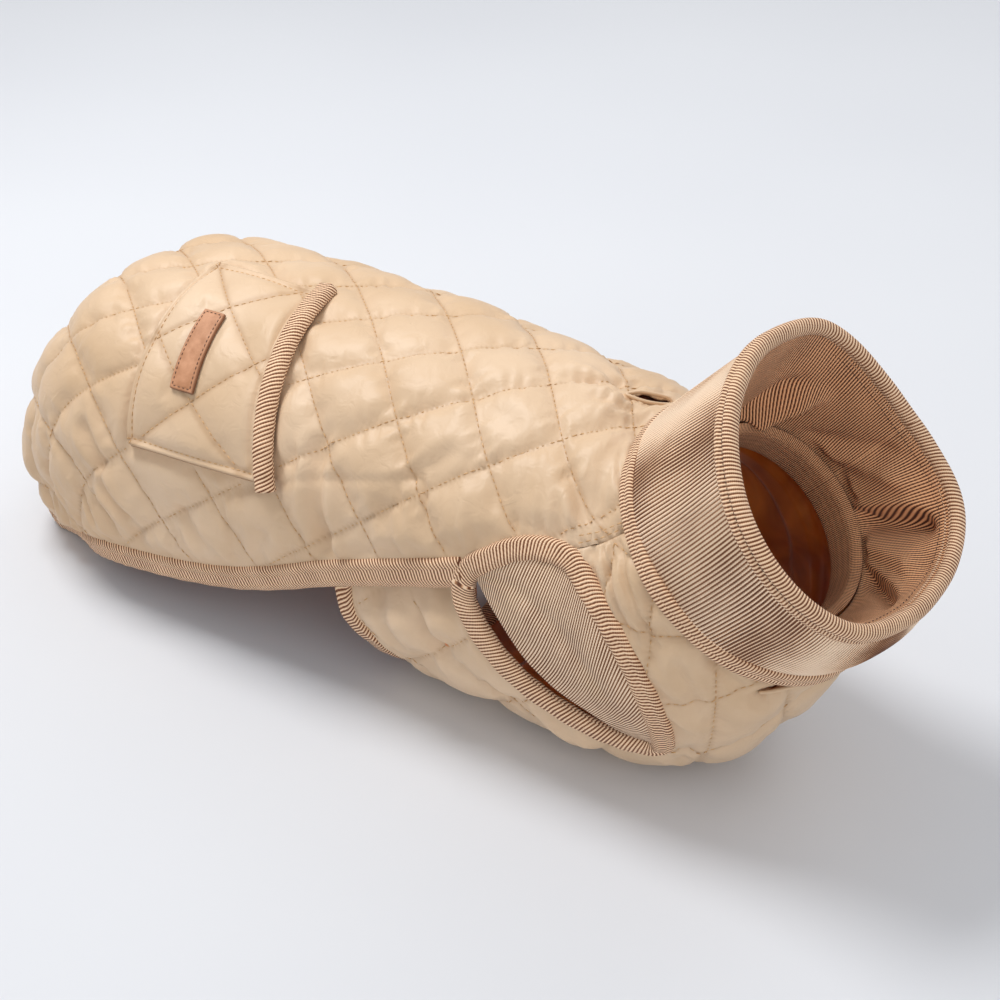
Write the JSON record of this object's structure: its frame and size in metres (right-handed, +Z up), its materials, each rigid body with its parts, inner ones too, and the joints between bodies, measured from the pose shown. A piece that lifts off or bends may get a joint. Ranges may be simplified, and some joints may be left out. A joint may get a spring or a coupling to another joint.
{
  "type": "dog winter coat",
  "caption": "Quilted dog coat with a rib-knit turned-down collar, bound leg openings and hem, and a patch pocket with a plain leather label; filled out as if worn.",
  "frame": {"origin": "middle of the coat's box, on the floor it rests on", "axes": "+X from the tail end toward the neck opening, +Y to the dog's left, +Z up"},
  "size_m": [0.5326, 0.2028, 0.2283],
  "materials": {
    "quilted_satin": "satin",
    "rib_knit": "matte",
    "inner_knit": "matte",
    "lining_satin": "satin",
    "leather_label": "matte"
  },
  "bodies": {
    "root": {"back_panel": "quilted_satin", "chest_panel": "quilted_satin", "lining": "lining_satin", "hem_binding": "rib_knit", "belly_binding": "rib_knit", "leg_binding_R": "rib_knit", "leg_binding_L": "rib_knit", "leg_gusset_R": "rib_knit", "leg_gusset_L": "rib_knit", "pocket_panel": "quilted_satin", "pocket_roll": "rib_knit", "label": "leather_label", "collar_cuff": "rib_knit", "collar_funnel": "inner_knit", "collar_rim": "rib_knit", "collar_hem": "rib_knit", "neck_ring": "inner_knit"}
  },
  "joints": []
}
